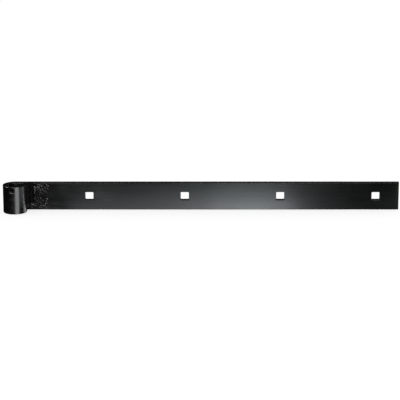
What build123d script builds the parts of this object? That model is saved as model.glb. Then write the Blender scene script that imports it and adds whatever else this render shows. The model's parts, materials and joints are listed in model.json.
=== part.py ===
from build123d import *
from math import asin, cos, pi, sin
import os

# A gate or barn-door band hinge leaf: one flat bar whose end is rolled forward into
# an eye, closed by weld metal, with a row of square holes for carriage bolts.
#
# Millimetres. Origin: on the eye's axis, at half the bar's width.
# +Z is up the eye's axis, +X runs along the strap to its free end, and -Y is the front,
# the side that the eye is rolled towards. The back (+Y) face lies against the door.

# The bar
BAR_WIDTH = 42.5
BAR_THICKNESS = 8.0
OVERALL_LENGTH = 600.0  # from the eye's outer wall to the free end
BAR_EDGE_RADIUS = 0.7  # rolled edges of the flat bar
BAR_END_RADIUS = 0.5  # the sheared end, broken with a file

# The rolled eye
EYE_BORE_RADIUS = 10.0
ROLL_TIP_GAP = 0.3  # left between the bar's rolled tip and the strap's front face
SET_SCREW_HOLE_RADIUS = 3.3
SET_SCREW_HOLE_BELOW_TOP = 5.85
SET_SCREW_HOLE_TURN = 9.0  # degrees round the eye, from straight ahead away from the strap

# Square holes for carriage bolts, counted from the free end
SQUARE_HOLE_SIDE = 12.7
SQUARE_HOLE_CORNER_RADIUS = 1.2
SQUARE_HOLE_COUNT = 4
SQUARE_HOLE_PITCH = 145.0
LAST_HOLE_TO_END = 35.0

# The fillet weld along the seam, outside the eye
WELD_LEG_ON_STRAP = 8.4
WELD_LEG_ON_EYE = 7.0
WELD_BULGE = 1.1
WELD_END_SETBACK = 1.2  # each end stops just inside the bar's rounded edges
PUDDLE_RADIUS = 7.5  # where the bead ran out over the strap at its lower end
PUDDLE_HEIGHT = 1.3
PUDDLE_BEYOND_TOE = 3.5
PUDDLE_ABOVE_EDGE = 4.0

# The two root welds, which seal the ends of the seam from above and below
ROOT_WELD_DEPTH = 4.0
ROOT_WELD_REACH = 4.2  # from the tip's outer corner in towards the bore

# Weld spatter on the strap's front face: along the strap, height, droplet radius
SPATTER = (
    (29.5, 14.6, 1.5),
    (34.0, 17.2, 0.7),
    (40.0, 15.6, 1.4),
    (46.0, 13.6, 1.2),
    (35.0, 6.8, 1.1),
    (42.0, 3.4, 0.8),
    (30.5, 1.2, 0.7),
    (39.0, -3.6, 1.0),
    (47.5, -1.4, 0.6),
    (37.5, -10.6, 1.2),
    (42.5, -14.2, 1.1),
    (51.0, -8.2, 0.7),
)
SPATTER_SINK = 0.35  # share of its radius that a droplet is sunk into the face

# Worked out from the sizes above
EYE_OUTER_RADIUS = EYE_BORE_RADIUS + BAR_THICKNESS
HALF_WIDTH = BAR_WIDTH / 2
FRONT_Y = EYE_BORE_RADIUS  # the strap's front face is tangent to the bore
BACK_Y = EYE_OUTER_RADIUS
FREE_END_X = OVERALL_LENGTH - EYE_OUTER_RADIUS
TIP_ANGLE = asin((FRONT_Y - ROLL_TIP_GAP) / EYE_OUTER_RADIUS)  # where the roll ends
BITE = 1.5  # how far a blank reaches into its neighbour before it is trimmed flush


def round_the_eye(radius, angle):
    """A point in plan at this radius and angle about the eye's axis."""
    return (radius * cos(angle), radius * sin(angle))


def hole_places():
    """Where the square holes' centres are along the strap, from the eye outwards."""
    last = FREE_END_X - LAST_HOLE_TO_END
    return [last - i * SQUARE_HOLE_PITCH for i in reversed(range(SQUARE_HOLE_COUNT))]


def bar_plan():
    """The bar seen along the eye's axis: the strap, and the eye rolled from its end."""
    strap = Pos(FREE_END_X / 2, (FRONT_Y + BACK_Y) / 2) * Rectangle(FREE_END_X, BAR_THICKNESS)
    roll = Circle(EYE_OUTER_RADIUS) - Circle(EYE_BORE_RADIUS)
    reach = 2 * EYE_OUTER_RADIUS
    opening = make_face(
        Polyline((0, 0), round_the_eye(reach, TIP_ANGLE), (reach, reach), (0, reach), close=True)
    )
    return (roll - opening) + strap


def square_holes():
    """The prisms that the square punch takes out."""
    side = RectangleRounded(SQUARE_HOLE_SIDE, SQUARE_HOLE_SIDE, SQUARE_HOLE_CORNER_RADIUS)
    through = Plane.XZ * extrude(side, amount=BAR_THICKNESS, both=True)
    middle_y = (FRONT_Y + BACK_Y) / 2
    return [Pos(x, middle_y, 0) * through for x in hole_places()]


def set_screw_hole():
    """The round hole drilled through the front of the eye, near its top."""
    drill = Cylinder(SET_SCREW_HOLE_RADIUS, 2 * BAR_THICKNESS, rotation=(90, 0, 0))
    middle_of_wall = -(EYE_BORE_RADIUS + EYE_OUTER_RADIUS) / 2
    drill = Pos(0, middle_of_wall, HALF_WIDTH - SET_SCREW_HOLE_BELOW_TOP) * drill
    return Rot(0, 0, -SET_SCREW_HOLE_TURN) * drill


def strap_band():
    bar = extrude(bar_plan(), amount=HALF_WIDTH, both=True)
    bar = bar.clean()
    edges = bar.edges().filter_by_position(Axis.Z, HALF_WIDTH, HALF_WIDTH)
    edges += bar.edges().filter_by_position(Axis.Z, -HALF_WIDTH, -HALF_WIDTH)
    bar = fillet(edges, BAR_EDGE_RADIUS)
    end_edges = bar.edges().filter_by(Axis.Z).filter_by_position(Axis.X, FREE_END_X, FREE_END_X)
    bar = fillet(end_edges, BAR_END_RADIUS)
    for hole in square_holes():
        bar -= hole
    return bar - set_screw_hole()


def seam_weld(bar):
    """The bead in the corner between the eye and the strap, with its run-out below."""
    corner_x = EYE_OUTER_RADIUS * cos(TIP_ANGLE)
    toe_on_strap = (corner_x + WELD_LEG_ON_STRAP, FRONT_Y)
    eye_toe_angle = TIP_ANGLE - WELD_LEG_ON_EYE / EYE_OUTER_RADIUS
    toe_on_eye = round_the_eye(EYE_OUTER_RADIUS, eye_toe_angle)
    middle = ((toe_on_strap[0] + toe_on_eye[0]) / 2, (toe_on_strap[1] + toe_on_eye[1]) / 2)
    lean = pi / 4
    crown = (middle[0] + WELD_BULGE * cos(lean), middle[1] - WELD_BULGE * sin(lean))
    outline = [
        ThreePointArc(toe_on_eye, crown, toe_on_strap),
        Polyline(
            toe_on_strap,
            (toe_on_strap[0], FRONT_Y + BITE),
            (corner_x, FRONT_Y + BITE),
            (corner_x, FRONT_Y - ROLL_TIP_GAP - BITE),
            round_the_eye(EYE_OUTER_RADIUS - BITE, eye_toe_angle),
            toe_on_eye,
        ),
    ]
    half_length = HALF_WIDTH - WELD_END_SETBACK
    bead = extrude(make_face(outline), amount=half_length, both=True)
    ball = (PUDDLE_RADIUS**2 + PUDDLE_HEIGHT**2) / (2 * PUDDLE_HEIGHT)
    puddle = Pos(
        toe_on_strap[0] + PUDDLE_BEYOND_TOE,
        FRONT_Y - PUDDLE_HEIGHT + ball,
        -HALF_WIDTH + PUDDLE_ABOVE_EDGE,
    ) * Sphere(ball)
    in_front = Pos(FREE_END_X / 2, FRONT_Y - BAR_THICKNESS / 2, 0) * Box(
        FREE_END_X, BAR_THICKNESS, 2 * half_length
    )
    return (bead + (puddle & in_front)) - bar


def root_weld(bar, side):
    """The plug of weld between the roll's tip and the strap. side is 1 above, -1 below."""
    corner_x, corner_y = round_the_eye(EYE_OUTER_RADIUS, TIP_ANGLE)
    inner_x = corner_x - ROOT_WELD_REACH
    plan = make_face(
        Polyline(
            (inner_x, FRONT_Y + BITE),
            (corner_x, FRONT_Y + BITE),
            (corner_x, corner_y - BITE),
            (inner_x, corner_y - ROOT_WELD_REACH),
            close=True,
        )
    )
    foot = HALF_WIDTH - WELD_END_SETBACK - ROOT_WELD_DEPTH
    plug = Pos(0, 0, foot) * extrude(plan, amount=ROOT_WELD_DEPTH)
    if side < 0:
        plug = mirror(plug, about=Plane.XY)
    return plug - bar


def weld_spatter():
    """Droplets frozen on the strap's front face, each one a solid of its own."""
    in_front = Pos(FREE_END_X / 2, FRONT_Y - BAR_THICKNESS / 2, 0) * Box(
        FREE_END_X, BAR_THICKNESS, BAR_WIDTH
    )
    return [Pos(x, FRONT_Y + SPATTER_SINK * r, z) * Sphere(r) & in_front for x, z, r in SPATTER]


def save(shape, name):
    export_step(shape, os.path.join("parts", name + ".step"))


def one_solid(shape):
    return shape.solids()[0] if len(shape.solids()) == 1 else Compound(shape.solids())


os.makedirs("parts", exist_ok=True)
band = strap_band()
save(one_solid(band), "strap_band")
save(one_solid(seam_weld(band)), "seam_weld")
save(one_solid(root_weld(band, 1)), "root_weld_top")
save(one_solid(root_weld(band, -1)), "root_weld_bottom")
save(Compound([drop.solids()[0] for drop in weld_spatter()]), "weld_spatter")
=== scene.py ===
import json
import math
import random

import bmesh
import bpy
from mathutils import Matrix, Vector, noise


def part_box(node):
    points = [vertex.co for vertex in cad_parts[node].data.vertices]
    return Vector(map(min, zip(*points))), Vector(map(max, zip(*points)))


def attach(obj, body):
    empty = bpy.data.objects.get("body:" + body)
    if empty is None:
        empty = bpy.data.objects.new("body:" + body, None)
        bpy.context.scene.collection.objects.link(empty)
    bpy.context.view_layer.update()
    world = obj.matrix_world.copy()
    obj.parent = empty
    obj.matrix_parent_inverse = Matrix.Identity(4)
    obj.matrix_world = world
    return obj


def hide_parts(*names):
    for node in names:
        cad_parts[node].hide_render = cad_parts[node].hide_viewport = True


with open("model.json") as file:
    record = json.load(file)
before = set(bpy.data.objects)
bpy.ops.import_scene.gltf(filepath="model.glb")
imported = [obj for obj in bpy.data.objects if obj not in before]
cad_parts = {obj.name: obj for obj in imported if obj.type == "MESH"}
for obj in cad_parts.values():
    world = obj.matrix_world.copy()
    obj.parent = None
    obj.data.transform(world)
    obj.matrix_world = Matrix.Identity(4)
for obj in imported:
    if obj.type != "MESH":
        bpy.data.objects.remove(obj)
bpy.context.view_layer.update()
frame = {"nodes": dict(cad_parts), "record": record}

# One leaf of a band hinge: a flat bar rolled into an eye, its seam closed by weld metal,
# all under one black coat. Everything is in metres, in the CAD frame: the origin is on
# the eye's axis at half the bar's width, +X runs to the free end, -Y is the front.
MM = 0.001

# ---------------------------------------------------------------- sizes from the frame
band_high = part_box("strap_band")[1]
mounts = {m["name"]: m for m in frame["record"]["mounts"]}
HALF_WIDTH = band_high.z
FREE_END_X = band_high.x
EYE_OUTER = band_high.y
EYE_BORE = mounts["eye_bore"]["dims"]["r_mm"] * MM
THICKNESS = EYE_OUTER - EYE_BORE
HALF_THICK = THICKNESS / 2
MIDDLE_Y = EYE_BORE + HALF_THICK  # the bar's middle plane, and the roll's middle radius
FRONT_Y = EYE_BORE
SQUARE_HOLES = [Vector(m["pos_m"]) for n, m in mounts.items() if n.startswith("square_hole")]
screw_hole = mounts["set_screw_hole"]
SCREW_HOLE_Z = screw_hole["pos_m"][2]
SCREW_HOLE_TURN = math.atan2(screw_hole["axis"][0], -screw_hole["axis"][1])
SCREW_HOLE_R = screw_hole["dims"]["r_mm"] * MM

# ---------------------------------------------------------------- sizes of the details
EDGE_R = 0.7 * MM  # rounded edges of the flat bar
END_R = 0.5 * MM  # broken edges of the bar's two ends
TIP_GAP = 0.3 * MM
ROLL = 2 * math.pi - math.acos((FRONT_Y - TIP_GAP) / EYE_OUTER)
GRID = 1.0 * MM  # mesh spacing along and across the bar
HOLE_INSET = 0.2 * MM  # each side of the visible square hole stands in from the CAD's by this
SQUARE_HALF = 6.35 * MM - HOLE_INSET
SQUARE_CORNER = 1.2 * MM
PATCH_HALF = 12 * MM  # the square of mesh round each square hole
SCREW_PATCH_ANGLE = math.radians(27)
SCREW_PATCH_LOW, SCREW_PATCH_HIGH = 10 * MM, 20 * MM
SCREW_HOLE_ALONG = -(math.pi + SCREW_HOLE_TURN) * MIDDLE_Y  # its axis, in bar coordinates
PUNCH_RIM = 0.75 * MM  # metal drawn in by the punch round the front of each square hole
BREAK_RIM = 0.3 * MM
DISH_WIDTH, DISH_DEPTH = 1.0 * MM, 0.31 * MM  # the countersunk mouth of the small hole


def ease(t):
    t = min(max(t, 0.0), 1.0)
    return t * t * (3 - 2 * t)


def lumps(x, y, z, size, seed=0.0):
    """Smooth noise from 0 to 1 with lumps of this size."""
    return 0.5 + 0.5 * noise.noise(Vector((x, y, z)) / size + Vector((seed, 2.7 * seed, -seed)))


def spread(start, stop, step):
    """Evenly spaced values from start to stop, both included, about a step apart."""
    count = max(1, round(abs(stop - start) / step))
    return [start + (stop - start) * i / count for i in range(count + 1)]


# ---------------------------------------------------------------- camera
CAMERA_AIM = (0.2801, 0.010, -0.006)
CAMERA_DISTANCE = 2.736
CAMERA_PITCH = 15.6  # degrees below the horizon


def add_camera():
    data = bpy.data.cameras.new("camera")
    data.lens = 162
    data.sensor_width = 36
    data.clip_start, data.clip_end = 0.1, 100
    camera = bpy.data.objects.new("camera", data)
    pitch = math.radians(CAMERA_PITCH)
    back = Vector((0, -math.cos(pitch), math.sin(pitch)))
    camera.location = Vector(CAMERA_AIM) + CAMERA_DISTANCE * back
    camera.rotation_euler = (math.pi / 2 - pitch, 0, 0)
    bpy.context.scene.collection.objects.link(camera)
    bpy.context.scene.camera = camera


# ---------------------------------------------------------------- node helpers
class Nodes:
    """A short way to write a node tree."""

    def __init__(self, owner):
        owner.use_nodes = True
        self.tree = owner.node_tree
        self.tree.nodes.clear()

    def add(self, kind, **inputs):
        node = self.tree.nodes.new(kind)
        for name, value in inputs.items():
            self.set(node, name.replace("_", " "), value)
        return node

    def set(self, node, name, value):
        socket = node.inputs[int(name)] if name.isdigit() else node.inputs[name]
        if isinstance(value, bpy.types.NodeSocket):
            self.tree.links.new(value, socket)
        else:
            socket.default_value = value

    def math(self, operation, a, b=0.0, c=0.0):
        node = self.tree.nodes.new("ShaderNodeMath")
        node.operation = operation
        for place, value in enumerate((a, b, c)):
            self.set(node, str(place), value)
        return node.outputs[0]

    def ramp(self, value, low, high, to_low=0.0, to_high=1.0, smooth=True):
        node = self.tree.nodes.new("ShaderNodeMapRange")
        node.interpolation_type = "SMOOTHSTEP" if smooth else "LINEAR"
        for name, v in (
            ("Value", value), ("From Min", low), ("From Max", high),
            ("To Min", to_low), ("To Max", to_high),
        ):
            self.set(node, name, v)
        return node.outputs["Result"]

    def noise(self, place, size, detail=2.0, roughness=0.5, distortion=0.0):
        node = self.add("ShaderNodeTexNoise", Vector=place, Scale=1 / size, Detail=detail)
        self.set(node, "Roughness", roughness)
        self.set(node, "Distortion", distortion)
        return node.outputs["Fac"]

    def mix(self, factor, a, b):
        node = self.tree.nodes.new("ShaderNodeMix")
        node.data_type = "RGBA"
        self.set(node, "0", factor)
        for socket, value in ((node.inputs[6], a), (node.inputs[7], b)):
            if isinstance(value, bpy.types.NodeSocket):
                self.tree.links.new(value, socket)
            else:
                socket.default_value = value
        return node.outputs[2]

    def attribute(self, name):
        node = self.tree.nodes.new("ShaderNodeAttribute")
        node.attribute_name = name
        return node.outputs["Fac"]

    def link(self, a, b):
        self.tree.links.new(a, b)


def grey(value, tint=(1.0, 1.0, 1.0)):
    return (value * tint[0], value * tint[1], value * tint[2], 1.0)


# ---------------------------------------------------------------- floor, world and lights
def only_for_reflections(thing):
    """Seen in gloss, and by nothing else."""
    thing.visible_camera = False
    thing.visible_diffuse = False
    thing.visible_transmission = False
    thing.visible_volume_scatter = False
    thing.visible_shadow = False


def floor_material():
    material = bpy.data.materials.new("pale_floor")
    n = Nodes(material)
    place = n.add("ShaderNodeTexCoord").outputs["Object"]
    cloud = n.noise(place, 0.6)
    colour = n.mix(cloud, grey(0.86), grey(0.90))
    diffuse = n.add("ShaderNodeBsdfDiffuse", Color=colour)
    glow = n.add("ShaderNodeEmission", Color=grey(1.0), Strength=FLOOR_GLOW)
    both = n.add("ShaderNodeAddShader")
    n.link(diffuse.outputs[0], both.inputs[0])
    n.link(glow.outputs[0], both.inputs[1])
    out = n.add("ShaderNodeOutputMaterial")
    n.link(both.outputs[0], out.inputs["Surface"])
    return material


def flat_sheet(name, x0, x1, y0, y1, z):
    mesh = bpy.data.meshes.new(name)
    mesh.from_pydata([(x0, y0, z), (x1, y0, z), (x1, y1, z), (x0, y1, z)], [], [(0, 1, 2, 3)])
    sheet = bpy.data.objects.new(name, mesh)
    bpy.context.scene.collection.objects.link(sheet)
    return sheet


FLOOR_GLOW = 0.70
FLOOR_REACH = 30.0
WORLD_FOR_CAMERA = 1.0
WORLD_FOR_DIFFUSE = 0.36
WORLD_FOR_GLOSS = 0.01


def add_floor():
    """A plain pale floor, kept out of the coat's reflections, which the lights make."""
    floor = flat_sheet("floor", -FLOOR_REACH, FLOOR_REACH, -FLOOR_REACH, FLOOR_REACH, -HALF_WIDTH)
    floor.data.materials.append(floor_material())
    floor.visible_shadow = False
    floor.visible_glossy = False
    floor.visible_diffuse = False


def add_world():
    world = bpy.data.worlds.new("studio")
    bpy.context.scene.world = world
    world.cycles.sampling_method = "NONE"
    n = Nodes(world)
    path = n.add("ShaderNodeLightPath")
    strength = n.ramp(
        path.outputs["Is Glossy Ray"], 0, 1, WORLD_FOR_DIFFUSE, WORLD_FOR_GLOSS, smooth=False
    )
    strength = n.ramp(path.outputs["Is Camera Ray"], 0, 1, strength, WORLD_FOR_CAMERA, smooth=False)
    light = n.add("ShaderNodeBackground", Color=grey(1.0), Strength=strength)
    out = n.add("ShaderNodeOutputWorld")
    n.link(light.outputs[0], out.inputs["Surface"])


def add_softbox(name, place, aim, width, height, radiance):
    """A soft area light of this radiance, seen in gloss."""
    data = bpy.data.lights.new(name, "AREA")
    data.shape = "RECTANGLE"
    data.size, data.size_y = width, height
    data.energy = radiance * width * height * math.pi
    lamp = bpy.data.objects.new(name, data)
    bpy.context.scene.collection.objects.link(lamp)
    lamp.location = place
    away = Vector(place) - Vector(aim)
    lamp.rotation_euler = away.to_track_quat("Z", "Y").to_euler()
    lamp.visible_camera = False
    lamp.visible_diffuse = False


# The strap's face leans its reflection on what lies just in front of it, so a card there
# sets how bright the face is along its length: (x, glow), from the eye to the free end.
CARD_ALONG = (
    (0.02, 0.0), (0.06, 0.12), (0.10, 0.80), (0.18, 1.1), (0.28, 2.2),
    (0.36, 3.6), (0.40, 3.0), (0.45, 0.75), (0.49, 0.28), (0.54, 0.12), (0.585, 0.2),
    (0.61, 0.6), (0.70, 0.6),
)
CARD_LEFT, CARD_RIGHT = 0.03, 0.70
CARD_NEAR, CARD_FAR = 0.003, 0.60
CARD_FADE_FROM = -0.16  # the card is dimmest from here outwards, and brightest by the strap
CARD_DIM, CARD_BRIGHT = 0.18, 1.55
CARD_FAR_TINT, CARD_NEAR_TINT = (0.86, 1.0, 0.99), (0.95, 1.0, 1.05)


def gradient_card():
    """A card that lies in front of the strap and glows by place, seen only in gloss."""
    near_edge = FRONT_Y - CARD_NEAR
    below = -HALF_WIDTH - MM
    card = flat_sheet("reflection_card", CARD_LEFT, CARD_RIGHT, -CARD_FAR, near_edge, below)
    only_for_reflections(card)
    material = bpy.data.materials.new("reflection_card")
    n = Nodes(material)
    place = n.add("ShaderNodeTexCoord").outputs["Object"]
    split = n.add("ShaderNodeSeparateXYZ", Vector=place)
    along = n.ramp(split.outputs["X"], CARD_ALONG[0][0], CARD_ALONG[-1][0], smooth=False)
    curve = n.add("ShaderNodeFloatCurve", Value=along)
    line = curve.mapping.curves[0]
    top = max(glow for _, glow in CARD_ALONG)
    length = CARD_ALONG[-1][0] - CARD_ALONG[0][0]
    while len(line.points) < len(CARD_ALONG):
        line.points.new(0.5, 0.5)
    for point, (x, glow) in zip(line.points, CARD_ALONG):
        point.location = ((x - CARD_ALONG[0][0]) / length, glow / top)
    curve.mapping.update()
    away = split.outputs["Y"]
    depth = n.ramp(away, CARD_FADE_FROM, FRONT_Y, CARD_DIM, CARD_BRIGHT, smooth=False)
    tint = n.mix(n.ramp(away, -0.15, -0.02), grey(1.0, CARD_FAR_TINT), grey(1.0, CARD_NEAR_TINT))
    strength = n.math("MULTIPLY", n.math("MULTIPLY", curve.outputs[0], top), depth)
    glow = n.add("ShaderNodeEmission", Color=tint, Strength=strength)
    clear = n.add("ShaderNodeBsdfTransparent", Color=grey(1.0))
    both = n.add("ShaderNodeAddShader")
    n.link(clear.outputs[0], both.inputs[0])
    n.link(glow.outputs[0], both.inputs[1])
    out = n.add("ShaderNodeOutputMaterial")
    n.link(both.outputs[0], out.inputs["Surface"])
    card.data.materials.append(material)


def add_lights():
    gradient_card()
    # To the right of the eye, facing it: the strap sees only its dark back.
    add_softbox("eye_light", (0.027, -0.118, -0.15), (0.0, -0.118, -0.15), 0.164, 0.40, 4.8)
    # In front of the eye and above it: it lights only what is tilted upwards, as bumps are.
    add_softbox("bump_light", (-0.17, -0.88, 0.26), (0.03, 0, 0), 0.34, 0.22, 14.0)
    # High on the left, for the eye's upper rim
    add_softbox("rim_light", (-0.9, 0.1, 0.9), (0, 0, 0), 0.36, 0.36, 40.0)
    # Soft light from above, for the edges and rims
    add_softbox("key_light", (0.75, -1.0, 1.1), (0.25, 0, 0), 0.7, 0.7, 5.0)
    add_softbox("back_light", (0.1, 0.7, 1.7), (0.28, 0, 0), 1.2, 0.8, 0.9)
    # In front at the hinge's own height, for the top edges of its front face
    add_softbox("front_light", (0.38, -0.9, 0.24), (0.38, 0, 0.1), 0.16, 0.36, 9.0)
    # Behind the free end and below it, for the back face and the end
    add_softbox("rear_light", (1.25, 0.55, -0.1), (0.3, 0.02, 0), 1.0, 0.9, 3.0)


# ---------------------------------------------------------------- coat and weld materials
def painted(name, dark, light, rough, orange_peel, grain, drawn_lines, wear_colour):
    """A black coat over steel: cloudy colour, uneven gloss, orange peel and worn edges, with
    painted shade that dims its reflection in the corner by the weld.
    """
    material = bpy.data.materials.new(name)
    n = Nodes(material)
    place = n.add("ShaderNodeTexCoord").outputs["Object"]
    wide = n.noise(place, 40 * MM, detail=3, distortion=0.4)
    drawn = n.add("ShaderNodeMapping", Vector=place, Scale=(0.04, 1.0, 1.0)).outputs[0]
    streaks = n.noise(drawn, 5 * MM, detail=3, roughness=0.55)
    fine = n.noise(place, 1.6 * MM, detail=4, roughness=0.6)
    worn = n.attribute("wear")
    heat = n.attribute("heat")
    smear = n.attribute("smear")
    specks = n.ramp(n.noise(place, 0.9 * MM, detail=1), 0.68, 0.78)

    cloud = n.math("ADD", n.math("MULTIPLY", wide, 0.7), n.math("MULTIPLY", fine, 0.3))
    colour = n.mix(cloud, dark, light)
    patchy = n.noise(place, 14 * MM, detail=4, roughness=0.5)
    rub = n.math("MULTIPLY", worn, n.ramp(patchy, 0.40, 0.75))
    wisps = n.math("MULTIPLY", smear, n.ramp(n.noise(drawn, 3 * MM, detail=4), 0.35, 0.65))
    colour = n.mix(wisps, colour, grey(0.038, (1.0, 1.0, 0.96)))
    chalky = n.math("MULTIPLY", n.ramp(streaks, 0.45, 0.8), n.math("SUBTRACT", 1.0, heat))
    colour = n.mix(n.math("MULTIPLY", chalky, 0.6), colour, grey(0.014))
    colour = n.mix(rub, colour, wear_colour)
    colour = n.mix(n.math("MULTIPLY", specks, 0.5), colour, grey(0.035))

    gloss = n.ramp(wide, 0.25, 0.75, rough - 0.04, rough + 0.05)
    gloss = n.math("ADD", gloss, n.ramp(fine, 0.3, 0.7, -0.02, 0.02))
    gloss = n.math("ADD", gloss, n.ramp(streaks, 0.3, 0.7, -0.03, 0.03))
    gloss = n.math("ADD", gloss, n.math("MULTIPLY", wisps, 0.12))
    gloss = n.math("ADD", gloss, n.math("MULTIPLY", rub, 0.18))
    gloss = n.math("ADD", gloss, n.math("MULTIPLY", heat, -0.11))

    peel = n.noise(place, 1.1 * MM, detail=1.5)
    scale = n.ramp(n.noise(place, 5 * MM, detail=5, roughness=0.65), 0.35, 0.65)
    rough_skin = n.noise(place, 0.8 * MM, detail=5, roughness=0.7)
    relief = n.math("ADD", n.math("MULTIPLY", peel, orange_peel), n.math("MULTIPLY", scale, grain))
    relief = n.math("ADD", relief, n.math("MULTIPLY", n.math("MULTIPLY", rough_skin, heat), 0.03))
    relief = n.math("ADD", relief, n.math("MULTIPLY", streaks, drawn_lines))
    bump = n.add("ShaderNodeBump", Height=relief, Strength=1.0, Distance=1 * MM)

    shader = n.add("ShaderNodeBsdfPrincipled", Roughness=gloss, IOR=1.5)
    # painted shade: where the painted_shade attribute is high the coat reflects less, which darkens
    # the corner between the eye and the strap
    painted_shade_level = n.ramp(n.attribute("painted_shade"), 0, 1, n.attribute("shine"), 0.08)
    n.set(shader, "Specular IOR Level", painted_shade_level)
    n.set(shader, "Base Color", colour)
    n.link(bump.outputs[0], shader.inputs["Normal"])
    out = n.add("ShaderNodeOutputMaterial")
    n.link(shader.outputs[0], out.inputs["Surface"])
    return material


# ---------------------------------------------------------------- the strap band
def bar_point(along, through, up):
    """A point of the bar from bar coordinates. along is X on the strap and, below 0, the
    distance round the roll on its middle line; through is 0 in mid-thickness, and
    positive on the strap's back, which becomes the eye's outside."""
    if along >= 0:
        return Vector((along, MIDDLE_Y + through, up))
    angle = -along / MIDDLE_Y
    radius = MIDDLE_Y + through
    return Vector((-radius * math.sin(angle), radius * math.cos(angle), up))


# Coat smears on the strap's face: x, z, radius, strength
SMEARS = (
    (0.052, 0.001, 8 * MM, 0.6), (0.072, 0.010, 7 * MM, 0.5), (0.080, -0.004, 8 * MM, 0.4),
    (0.126, 0.003, 9 * MM, 0.8), (0.140, -0.004, 8 * MM, 0.6), (0.060, -0.016, 9 * MM, 0.7),
    (0.086, -0.016, 10 * MM, 0.5),
)
# Shallow dents in the strap's face: x, z, radius, depth
DENTS = (
    (0.033, 0.004, 4 * MM, 0.12 * MM), (0.043, -0.010, 3 * MM, 0.15 * MM),
    (0.056, 0.012, 3.5 * MM, 0.10 * MM), (0.523, -0.005, 1.0 * MM, 0.16 * MM),
    (0.285, -0.0086, 1.2 * MM, 0.14 * MM), (0.417, -0.0063, 1.0 * MM, 0.14 * MM),
)


def blob(x, z, centre_x, centre_z, radius):
    away = math.hypot(x - centre_x, z - centre_z) / radius
    return math.exp(-away * away)


# Where weld heat and spatter left the face rough under the coat: x, z, radius
ROUGH_PATCHES = ((0.038, 0.011, 10 * MM), (0.044, -0.014, 7 * MM), (0.032, -0.002, 7 * MM))

PATCH_LUMPS = ((0.95 * MM, 3.4 * MM, 41), (0.30 * MM, 1.8 * MM, 43))  # depth, size, seed


def hollow(along, through, up):
    """How far the surface is worked in at a place in bar coordinates, never outwards."""
    side = 5.0 if through > 0 else 11.0
    depth = 0.06 * MM * lumps(along, side * MM, up, 60 * MM, side)
    depth += 0.02 * MM * lumps(along, 0, up, 9 * MM, side + 3)
    if along < 0.06:
        near = ease((0.06 - along) / 0.06)
        depth += near * 0.07 * MM * lumps(along, 0, up, 5 * MM, side + 7)
        depth += near * 0.05 * MM * lumps(along, 0, up, 1.8 * MM, side + 9)
    if along >= 0 and through < 0:
        for x, z, radius, deep in DENTS:
            depth += deep * blob(along, up, x, z, radius)
        rough = min(1.0, sum(blob(along, up, x, z, r) for x, z, r in ROUGH_PATCHES))
        for deep, size, seed in PATCH_LUMPS:
            depth += rough * deep * lumps(along, 0, up, size, seed)
        # the shears drew the last few millimetres of the face down
        depth += 0.35 * MM * max(0.0, (along - FREE_END_X + 6 * MM) / (6 * MM)) ** 2
    if along < 0 and through > 0:
        turn = -along / MIDDLE_Y - math.pi
        # flats left by the bending roll, as faint creases down the eye
        for crease in (-1.25, -0.62, 0.30, 0.72):
            depth += 0.10 * MM * math.exp(-(((turn - crease) / 0.06) ** 2))
        depth += 0.22 * MM * blob(turn * EYE_OUTER, up, 11 * MM, -19 * MM, 7 * MM) * lumps(
            along, 0, up, 1.5 * MM, 21)
    return depth


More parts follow.
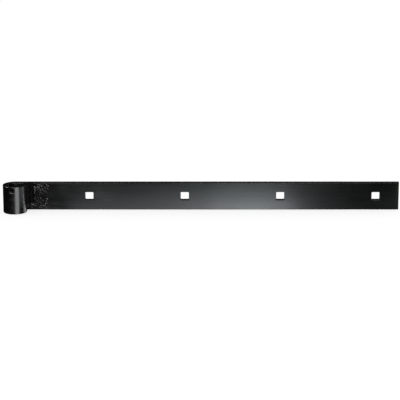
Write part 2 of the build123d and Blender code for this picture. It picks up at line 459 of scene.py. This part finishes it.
class Band:
    """Builds the bar's mesh in bar coordinates, hole patches and all."""

    def __init__(self):
        self.mesh = bmesh.new()
        self.place = {}
        self.wear = {}

    def vertex(self, along, through, up, wear=0.0):
        v = self.mesh.verts.new((0, 0, 0))
        self.place[v] = (along, through, up)
        self.wear[v] = wear
        return v

    def stations(self):
        """(distance along the bar, how far the section is drawn in) from end to end."""
        steps = 4
        turn = [math.pi / 2 * k / steps for k in range(steps + 1)]
        rounding = [(END_R * (1 - math.cos(a)), END_R * (1 - math.sin(a))) for a in turn]
        tip = -ROLL * MIDDLE_Y
        stops = [FREE_END_X - END_R]
        for hole in sorted(SQUARE_HOLES, key=lambda p: -p.x):
            stops += [hole.x + PATCH_HALF, hole.x - PATCH_HALF]
        stops += [0.0]
        half = SCREW_PATCH_ANGLE * MIDDLE_Y
        stops += [SCREW_HOLE_ALONG + half, SCREW_HOLE_ALONG - half, tip + END_R]
        found = [(FREE_END_X - depth, inset) for depth, inset in rounding[:-1]]
        for start, stop in zip(stops, stops[1:]):
            step = GRID if start > 0 else GRID * 0.74
            found += [(s, 0.0) for s in spread(start, stop, step)[:-1]]
        found += [(tip + depth, inset) for depth, inset in reversed(rounding)]
        return found

    def section(self):
        """The closed outline of the bar's section: (through, up, wear) with row numbers."""
        flat = HALF_WIDTH - EDGE_R
        even = SCREW_PATCH_HIGH
        rows = [-flat] + spread(-even, even, GRID) + [flat]
        self.rows = rows
        count = len(rows)
        self.row_back = list(range(count))
        outline = [(HALF_THICK, z, 0.0) for z in rows]
        arc = [math.pi / 2 * k / 4 for k in range(1, 5)]
        inner = HALF_THICK - EDGE_R
        edge = [(inner + EDGE_R * math.cos(a), flat + EDGE_R * math.sin(a), 1.0) for a in arc]
        edge += [(t, HALF_WIDTH, 0.35) for t in spread(inner, -inner, GRID)[1:-1]]
        edge += [(-inner - EDGE_R * math.sin(a), flat + EDGE_R * math.cos(a), 1.0)
                 for a in [0.0] + arc[:-1]]
        outline += edge
        first = len(outline)
        self.row_front = [first + count - 1 - k for k in range(count)]
        outline += [(-HALF_THICK, z, 0.0) for z in reversed(rows)]
        outline += [(-t, -z, w) for t, z, w in edge]
        return outline

    def build_skin(self):
        self.along = self.stations()
        outline = self.section()
        self.grid = []
        for s, inset in self.along:
            near_end = 1.0 if inset > 0 else 0.0
            ring = []
            for t, z, wear in outline:
                drawn_t = t * (1 - inset / HALF_THICK)
                drawn_z = z * (1 - inset / HALF_WIDTH)
                ring.append(self.vertex(s, drawn_t, drawn_z, max(wear, near_end)))
            self.grid.append(ring)
        self.find_patches()
        size = len(outline)
        for i in range(len(self.grid) - 1):
            for j in range(size):
                if not self.in_patch(i, j):
                    a, b = self.grid[i], self.grid[i + 1]
                    k = (j + 1) % size
                    self.mesh.faces.new((a[j], a[k], b[k], b[j]))
        self.mesh.faces.new(self.grid[0])
        self.mesh.faces.new(list(reversed(self.grid[-1])))

    def nearest_station(self, s):
        return min(range(len(self.along)), key=lambda i: abs(self.along[i][0] - s))

    def nearest_row(self, z):
        return min(range(len(self.rows)), key=lambda k: abs(self.rows[k] - z))

    def find_patches(self):
        """Station and row limits of each hole's patch."""
        self.patches = []
        for hole in SQUARE_HOLES:
            i0 = self.nearest_station(hole.x + PATCH_HALF)
            i1 = self.nearest_station(hole.x - PATCH_HALF)
            k0, k1 = self.nearest_row(-PATCH_HALF), self.nearest_row(PATCH_HALF)
            self.patches.append((i0, i1, k0, k1, hole))
        half = SCREW_PATCH_ANGLE * MIDDLE_Y
        i0 = self.nearest_station(SCREW_HOLE_ALONG + half)
        i1 = self.nearest_station(SCREW_HOLE_ALONG - half)
        k0, k1 = self.nearest_row(SCREW_PATCH_LOW), self.nearest_row(SCREW_PATCH_HIGH)
        self.patches.append((i0, i1, k0, k1, None))

    def in_patch(self, i, j):
        for i0, i1, k0, k1, _ in self.patches:
            if i0 <= i < i1:
                back = self.row_back[0] + k0 <= j < self.row_back[0] + k1
                first = self.row_front[-1]
                front = first + len(self.rows) - 1 - k1 <= j < first + len(self.rows) - 1 - k0
                if back or front:
                    return True
        return False

    def patch_border(self, i0, i1, k0, k1):
        border = [(i, k0) for i in range(i0, i1)]
        border += [(i1, k) for k in range(k0, k1)]
        border += [(i, k1) for i in range(i1, i0, -1)]
        border += [(i0, k) for k in range(k1, k0, -1)]
        return border

    def bridge(self, rings):
        for a, b in zip(rings, rings[1:]):
            count = len(a)
            for m in range(count):
                k = (m + 1) % count
                self.mesh.faces.new((a[m], a[k], b[k], b[m]))

    def fill_patches(self):
        for i0, i1, k0, k1, hole in self.patches:
            border = self.patch_border(i0, i1, k0, k1)
            if hole is None:
                rings = self.screw_hole_rings(border, i0, i1, k0, k1)
            else:
                rings = self.square_hole_rings(border, hole)
            self.bridge(rings)

    def wall_stages(self, front_rim, back_rim):
        """(offset from the wall, depth from the front face, wear) down a punched hole."""
        turn = [math.pi / 2 * k / 5 for k in range(6)]
        front = [(front_rim * (1 - math.sin(a)), front_rim * (1 - math.cos(a)), 0.8) for a in turn]
        wall = spread(front_rim, THICKNESS - back_rim, 0.9 * MM)[1:-1]
        # the lower part of the wall tore a little wide of the punch
        torn = [(0.10 * MM * ease((d - 3 * MM) / (3 * MM)), d, 0.3) for d in wall]
        back = [(0.10 * MM * math.cos(a) ** 2 + back_rim * (1 - math.sin(a)),
                 THICKNESS - back_rim * (1 - math.cos(a)), 0.8) for a in reversed(turn)]
        return front + torn + back

    def square_hole_rings(self, border, hole):
        """Rings from the front face's border, down the wall, to the back face's border."""
        def outline(offset):
            half, corner = SQUARE_HALF + offset, SQUARE_CORNER + offset
            core = half - corner
            points = []
            for i, k in border:
                x = (self.along[i][0] - hole.x) / PATCH_HALF * half
                z = self.rows[k] / PATCH_HALF * half
                middle = Vector((min(max(x, -core), core), min(max(z, -core), core)))
                ray = Vector((x, z)) - middle
                points.append(middle + ray.normalized() * corner)
            return points

        stages = self.wall_stages(PUNCH_RIM, BREAK_RIM)
        spans = (0.25, 0.5, 0.7, 0.85, 0.95)
        rings = [[self.grid[i][self.row_front[k]] for i, k in border]]
        rim = outline(stages[0][0])
        for share in spans:
            rings.append([self.between(hole.x, i, k, p, share, -HALF_THICK)
                          for (i, k), p in zip(border, rim)])
        for offset, depth, wear in stages:
            points = outline(offset)
            rings.append([self.vertex(hole.x + p.x, depth - HALF_THICK, p.y, wear)
                          for p in points])
        rim = outline(stages[-1][0])
        for share in reversed(spans):
            rings.append([self.between(hole.x, i, k, p, share, HALF_THICK)
                          for (i, k), p in zip(border, rim)])
        rings.append([self.grid[i][self.row_back[k]] for i, k in border])
        return rings

    def between(self, centre, i, k, point, share, through):
        x = self.along[i][0]
        z = self.rows[k]
        return self.vertex(x + (centre + point.x - x) * share, through,
                           z + (point.y - z) * share)

    def screw_hole_rings(self, border, i0, i1, k0, k1):
        """Rings from the eye's outside, along the drilled wall, to the bore."""
        middle_s = SCREW_HOLE_ALONG
        half_s = SCREW_PATCH_ANGLE * MIDDLE_Y
        middle_z = (self.rows[k0] + self.rows[k1]) / 2
        half_z = (self.rows[k1] - self.rows[k0]) / 2
        # on the front of the eye, +X is where the distance along the bar falls
        rays = []
        for i, k in border:
            across = -(self.along[i][0] - middle_s) / half_s
            rays.append(math.atan2((self.rows[k] - middle_z) / half_z, across))

        def drilled(radius, through):
            points = []
            for ray in rays:
                x = radius * math.cos(ray)
                turn = math.asin(x / (MIDDLE_Y + through))
                points.append((middle_s - turn * MIDDLE_Y, SCREW_HOLE_Z + radius * math.sin(ray)))
            return points

        def blend(points, share, through):
            ring = []
            for (i, k), (s, z) in zip(border, points):
                s0, z0 = self.along[i][0], self.rows[k]
                ring.append(self.vertex(s0 + (s - s0) * share, through, z0 + (z - z0) * share))
            return ring

        dish = [(DISH_WIDTH * (1 - k / 6), DISH_DEPTH * k / 6, 0.3) for k in range(7)]
        stages = dish + self.wall_stages(DISH_DEPTH, BREAK_RIM)[6:]
        spans = (0.3, 0.6, 0.85)
        rings = [[self.grid[i][self.row_back[k]] for i, k in border]]
        points = drilled(SCREW_HOLE_R + stages[0][0], HALF_THICK)
        rings += [blend(points, share, HALF_THICK) for share in spans]
        for offset, depth, wear in stages:
            through = HALF_THICK - depth
            points = drilled(SCREW_HOLE_R + offset, through)
            rings.append([self.vertex(s, through, z, wear) for s, z in points])
        points = drilled(SCREW_HOLE_R + stages[-1][0], -HALF_THICK)
        rings += [blend(points, share, -HALF_THICK) for share in reversed(spans)]
        rings.append([self.grid[i][self.row_front[k]] for i, k in border])
        return rings

    def work_the_surface(self):
        """Moves every vertex into place, with the bar's small unevenness."""
        for v, (s, t, z) in self.place.items():
            depth = hollow(s, t, z)
            t_worked = t * (1 - depth / HALF_THICK)
            z_worked = z * (1 - 0.10 * MM * lumps(s, 0, t, 18 * MM, 31) / HALF_WIDTH)
            v.co = bar_point(s, t_worked, z_worked)


def soot_at(x, z):
    """Painted shade in the corner between the eye and the strap, as a dimmed coat reflection along
    the bead, from 1 beside it to 0 past its toe and its pool.
    """
    beside = 1 - ease((x - 25 * MM) / (6 * MM))
    return beside * ease((x - 15 * MM) / (1.5 * MM)) * ease((z + 14 * MM) / (6 * MM))


def set_values(mesh, name, values):
    layer = mesh.attributes.new(name, "FLOAT", "POINT")
    layer.data.foreach_set("value", values)


def finish_piece(name, mesh, material, slot, *nodes):
    """Links a finished mesh as a piece on the one body, in place of its CAD nodes."""
    piece = bpy.data.objects.new(name, mesh)
    bpy.context.scene.collection.objects.link(piece)
    mesh.materials.append(material)
    mesh.polygons.foreach_set("use_smooth", [True] * len(mesh.polygons))
    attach(piece, "root")
    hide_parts(*nodes)
    return piece


def make_strap_band(material):
    band = Band()
    band.build_skin()
    band.fill_patches()
    band.work_the_surface()
    bmesh.ops.recalc_face_normals(band.mesh, faces=band.mesh.faces)
    band.mesh.verts.index_update()
    wear, heat, smear, painted_shade, shine = [], [], [], [], []
    for v in band.mesh.verts:
        s, t, z = band.place[v]
        wear.append(band.wear[v])
        heat.append(ease((0.055 - v.co.x) / 0.045) if t < 0 or s > 0 else 0.7)
        on_face = s > 0 and t < 0
        # painted shade on the face beside the bead, in the corner by the eye
        painted_shade.append(soot_at(s, z) if on_face else 0.0)
        rough = sum(blob(s, z, x, up, r) for x, up, r in ROUGH_PATCHES) if on_face else 0.0
        shine.append(0.5 + 0.5 * min(1.0, rough))
        smear.append(min(1.0, sum(a * blob(s, z, x, up, r) for x, up, r, a in SMEARS))
                     if on_face else 0.0)
    mesh = bpy.data.meshes.new("strap_band_skin")
    band.mesh.to_mesh(mesh)
    band.mesh.free()
    for name, values in (("wear", wear), ("heat", heat), ("smear", smear), ("painted_shade", painted_shade),
                         ("shine", shine)):
        set_values(mesh, name, values)
    piece = finish_piece("strap_band_skin", mesh, material, "black_coat", "strap_band")
    return piece


# ---------------------------------------------------------------- weld metal
def closed_tube(mesh, rings):
    """A closed skin over rings of points, with both ends capped."""
    made = [[mesh.verts.new(p) for p in ring] for ring in rings]
    for a, b in zip(made, made[1:]):
        count = len(a)
        for m in range(count):
            k = (m + 1) % count
            mesh.faces.new((a[m], a[k], b[k], b[m]))
    mesh.faces.new(made[0])
    mesh.faces.new(list(reversed(made[-1])))


TIP_TURN = ROLL - 1.5 * math.pi  # the roll tip's angle above the X axis
CORNER = Vector((EYE_OUTER * math.cos(TIP_TURN), FRONT_Y - TIP_GAP))
WELD_ON_STRAP = 8.0 * MM
WELD_ON_EYE = 6.8 * MM
WELD_CROWN = 0.4 * MM
RIPPLE_PITCH = 2.3 * MM
RIPPLE_HEIGHT = 0.55 * MM
WELD_HALF_LENGTH = HALF_WIDTH - 1.3 * MM


def ripple(z, across):
    """Height of the overlapping scallops of a weld run from top to bottom, 0 to 1."""
    bow = 1.6 * MM * (across - 0.5) ** 2 * 4
    place = (z + bow) / RIPPLE_PITCH + 0.35 * noise.noise(Vector((z / (5 * MM), 3.1, 0)))
    share = place - math.floor(place)
    return share ** 0.6 * (1 - ease((share - 0.82) / 0.18))


def seam_bead_rings():
    rings = []
    count = 16
    for z in spread(-WELD_HALF_LENGTH, WELD_HALF_LENGTH, 0.35 * MM):
        reach = 1 + 0.16 * noise.noise(Vector((z / (4 * MM), 0.3, 5.0)))
        near_end = min(1.0, (WELD_HALF_LENGTH - abs(z)) / (1.6 * MM))
        fade = math.sqrt(max(0.0, 1 - (1 - near_end) ** 2)) * 0.35 + 0.65
        on_strap = CORNER + Vector((WELD_ON_STRAP * reach * fade, TIP_GAP + 0.4 * MM))
        eye_turn = TIP_TURN - WELD_ON_EYE * fade * (2 - reach) / EYE_OUTER
        on_eye = (EYE_OUTER - 0.4 * MM) * Vector((math.cos(eye_turn), math.sin(eye_turn)))
        ring = []
        for k in range(count + 1):
            share = k / count
            chord = on_eye.lerp(on_strap, share)
            out = (on_strap - on_eye).orthogonal().normalized()
            if out.y > 0:
                out = -out
            belly = math.sin(math.pi * share)
            lift = belly * fade * (WELD_CROWN + RIPPLE_HEIGHT * ripple(z, share))
            lift += belly * 0.5 * MM * noise.noise(Vector((share * 3, z / (6 * MM), 1.0)))
            point = chord + out * lift
            ring.append((point.x, point.y, z))
        inner = CORNER + Vector((-1.0 * MM, 1.0 * MM))
        ring.append((on_strap.x, FRONT_Y + 1.0 * MM, z))
        ring.append((inner.x, inner.y, z))
        rings.append(ring)
    return rings


# The bead's run-out: the pool that froze over the strap's face at the bottom
POOL_X, POOL_Z = 27.1 * MM, -17.0 * MM
POOL_R = 7.2 * MM
POOL_HEIGHT = 1.25 * MM


def pool_rings():
    """A low dome cut off just above the bar's lower edge, with a raised outer lip."""
    rings = []
    steps = 18
    for level in range(steps + 1):
        share = level / steps
        radius = POOL_R * math.cos(math.pi / 2 * share * 0.97)
        lip = math.exp(-(((share - 0.22) / 0.16) ** 2)) * 0.35 * MM
        height = POOL_HEIGHT * (1 - (radius / POOL_R) ** 2) * 0.75 + lip
        ring = []
        for m in range(64):
            turn = 2 * math.pi * m / 64
            wander = 1 + 0.10 * noise.noise(Vector((math.cos(turn), math.sin(turn), 4.0)) * 1.3)
            x = POOL_X + radius * wander * math.cos(turn)
            z = POOL_Z + radius * wander * math.sin(turn) * 0.92
            z = max(z, -WELD_HALF_LENGTH)
            rough = 0.22 * MM * noise.noise(Vector((x, 0, z)) / (2.4 * MM))
            ring.append((x, FRONT_Y - height - rough * share, z))
        rings.append(ring)
    base = [(x, FRONT_Y + 0.6 * MM, z) for x, _, z in rings[0]]
    return [base] + rings


def remeshed(mesh, voxel, smooth_steps):
    """One continuous skin over the overlapping lumps of a mesh."""
    piece = bpy.data.objects.new("lumps", mesh)
    bpy.context.scene.collection.objects.link(piece)
    remesh = piece.modifiers.new("remesh", "REMESH")
    remesh.mode = "VOXEL"
    remesh.voxel_size = voxel
    smooth = piece.modifiers.new("smooth", "SMOOTH")
    smooth.iterations = smooth_steps
    graph = bpy.context.evaluated_depsgraph_get()
    result = bpy.data.meshes.new_from_object(piece.evaluated_get(graph), depsgraph=graph)
    bpy.data.objects.remove(piece)
    return result


def roughened(mesh, amount, size, seed):
    outwards = [v.normal.copy() for v in mesh.vertices]
    for v, out in zip(mesh.vertices, outwards):
        v.co += out * amount * noise.noise(v.co / size + Vector((seed, 0, 0)))


def weld_values(mesh, shine=0.5):
    count = len(mesh.vertices)
    set_values(mesh, "shine", [shine] * count)
    set_values(mesh, "wear", [0.25] * count)
    set_values(mesh, "heat", [1.0] * count)
    set_values(mesh, "smear", [0.0] * count)
    # painted shade on the weld metal in the corner between the eye and the strap
    set_values(mesh, "painted_shade", [soot_at(v.co.x, v.co.z) for v in mesh.vertices])


def make_seam_weld(material):
    lump = bmesh.new()
    closed_tube(lump, seam_bead_rings())
    closed_tube(lump, pool_rings())
    bmesh.ops.recalc_face_normals(lump, faces=lump.faces)
    mesh = bpy.data.meshes.new("seam_weld_rough")
    lump.to_mesh(mesh)
    lump.free()
    bead = remeshed(mesh, 0.26 * MM, 2)
    roughened(bead, 0.10 * MM, 1.1 * MM, 2.0)
    weld_values(bead)
    finish_piece("seam_weld_bead", bead, material, "coated_weld", "seam_weld")


def make_root_weld(material, side):
    """A lump of weld pressed into the end of the seam, proud in the middle."""
    name = "root_weld_top" if side > 0 else "root_weld_bottom"
    low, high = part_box(name)
    centre = (low + high) / 2
    size = high - low
    lump = bmesh.new()
    bmesh.ops.create_icosphere(lump, subdivisions=5, radius=0.5)
    for v in lump.verts:
        d = v.co.normalized()
        power = 0.42
        box = Vector([math.copysign(abs(c) ** power, c) for c in d])
        swell = 0.5 / max(abs(c) for c in box)
        p = box * swell * 0.55 + v.co * 0.45
        bumpy = 1 + 0.10 * noise.noise(d * 2.3 + Vector((side, 0, 0)))
        v.co = Vector([centre[i] + p[i] * size[i] * bumpy for i in range(3)])
    mesh = bpy.data.meshes.new(name + "_plug")
    lump.to_mesh(mesh)
    lump.free()
    weld_values(mesh)
    finish_piece(name + "_plug", mesh, material, "coated_weld", name)


DROP_HEIGHT = 0.62  # a droplet's height against its radius
DROP_ROOT = 1.2 * MM  # how much further it reaches into the bar, below the roughened face


def make_spatter(material):
    """Droplets frozen on the face, each a squashed and dimpled bead with a spread foot."""
    droplets = bmesh.new()
    node = frame["nodes"]["weld_spatter"]
    for index, (centre, radius) in enumerate(spatter_places(node) + fine_spatter()):
        made = bmesh.ops.create_icosphere(droplets, subdivisions=3, radius=1.0)
        for v in made["verts"]:
            d = v.co.copy()
            bumpy = 1 + 0.16 * noise.noise(d * 1.7 + Vector((index * 3.1, 0, 0)))
            foot = 1 + 0.35 * ease((d.y + 0.1) / 0.6)
            v.co = Vector((
                centre.x + d.x * radius * bumpy * foot,
                centre.y + d.y * (radius * DROP_HEIGHT if d.y < 0 else radius + DROP_ROOT),
                centre.z + d.z * radius * bumpy * foot * (1.0 + 0.12 * math.sin(index * 2.0)),
            ))
    mesh = bpy.data.meshes.new("weld_spatter_drops")
    droplets.to_mesh(mesh)
    droplets.free()
    weld_values(mesh, shine=1.0)
    finish_piece("weld_spatter_drops", mesh, material, "coated_weld", "weld_spatter")


def fine_spatter():
    """Smaller droplets between the large ones, thick on the face near the bead's top."""
    draw = random.Random(7)
    drops = []
    for x0, x1, z0, z1, count, small, large in (
        (27, 50, 5, 18, 34, 0.8, 1.9), (28, 44, -6, 6, 12, 0.5, 1.2),
        (34, 48, -18, -4, 20, 0.6, 1.8),
    ):
        for _ in range(count):
            radius = draw.uniform(small, large) * MM
            x, z = draw.uniform(x0, x1) * MM, draw.uniform(z0, z1) * MM
            drops.append((Vector((x, FRONT_Y + 0.3 * radius, z)), radius))
    return drops


def spatter_places(node):
    """Centre and radius of each CAD droplet, from its own loose part of the mesh."""
    work = bmesh.new()
    work.from_mesh(node.data)
    bmesh.ops.remove_doubles(work, verts=work.verts, dist=0.001 * MM)
    left = set(work.verts)
    places = []
    while left:
        stack = [left.pop()]
        group = []
        while stack:
            v = stack.pop()
            group.append(v.co.copy())
            for edge in v.link_edges:
                other = edge.other_vert(v)
                if other in left:
                    left.discard(other)
                    stack.append(other)
        low = Vector([min(p[i] for p in group) for i in range(3)])
        high = Vector([max(p[i] for p in group) for i in range(3)])
        radius = (high.x - low.x) / 2
        centre = Vector(((low.x + high.x) / 2, low.y + radius, (low.z + high.z) / 2))
        places.append((centre, radius))
    work.free()
    return sorted(places, key=lambda p: (round(p[0].x, 5), round(p[0].z, 5)))


# ---------------------------------------------------------------- the whole scene
add_camera()
add_world()
add_floor()
add_lights()
coat = painted(
    "black_coat", grey(0.002, (0.95, 1.0, 1.0)), grey(0.006, (0.95, 1.0, 1.0)),
    rough=0.26, orange_peel=0.004, grain=0.006, drawn_lines=0.05, wear_colour=grey(0.018),
)
weld_coat = painted(
    "coated_weld", grey(0.003), grey(0.009),
    rough=0.24, orange_peel=0.01, grain=0.02, drawn_lines=0.0, wear_colour=grey(0.03),
)
make_strap_band(coat)
make_seam_weld(weld_coat)
make_root_weld(weld_coat, 1)
make_root_weld(weld_coat, -1)
make_spatter(weld_coat)
bpy.context.scene.view_settings.view_transform = "Standard"
